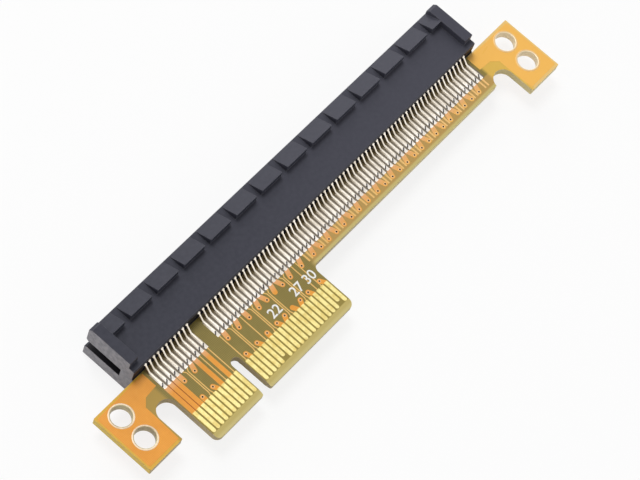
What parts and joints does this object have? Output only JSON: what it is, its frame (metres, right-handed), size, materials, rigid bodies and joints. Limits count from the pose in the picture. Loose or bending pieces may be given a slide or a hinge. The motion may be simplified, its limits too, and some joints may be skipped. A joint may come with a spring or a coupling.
{
  "type": "expansion riser card",
  "caption": "Flat riser card: a short keyed card edge with gold fingers feeds a long open-ended card slot; drilled mounting tabs at both ends.",
  "frame": {"origin": "under the middle of the card's length and depth, on the surface that it lies on", "axes": "+X along the slot towards the long end of the card edge, +Y from the card edge to the slot mouth, +Z out of the component side"},
  "size_m": [0.1076, 0.0266, 0.009],
  "materials": {
    "board_laminate": "glass-filled laminate under a satin yellow solder mask",
    "slot_plastic": "dark grey moulded, fine matt grain",
    "contact_tin": "bright tin plate on stamped copper alloy",
    "finger_gold": "pale gold plate on copper",
    "hole_plating": "tinned copper, satin"
  },
  "bodies": {
    "root": {"board": "board_laminate", "contacts_back_long": "contact_tin", "contacts_back_short": "contact_tin", "contacts_front_long": "contact_tin", "contacts_front_short": "contact_tin", "fingers_back_long": "finger_gold", "fingers_back_short": "finger_gold", "fingers_front_long": "finger_gold", "fingers_front_short": "finger_gold", "hole_barrel_left_lower": "hole_plating", "hole_barrel_left_upper": "hole_plating", "hole_barrel_right_lower": "hole_plating", "hole_barrel_right_upper": "hole_plating", "slot_housing": "slot_plastic"}
  },
  "joints": []
}
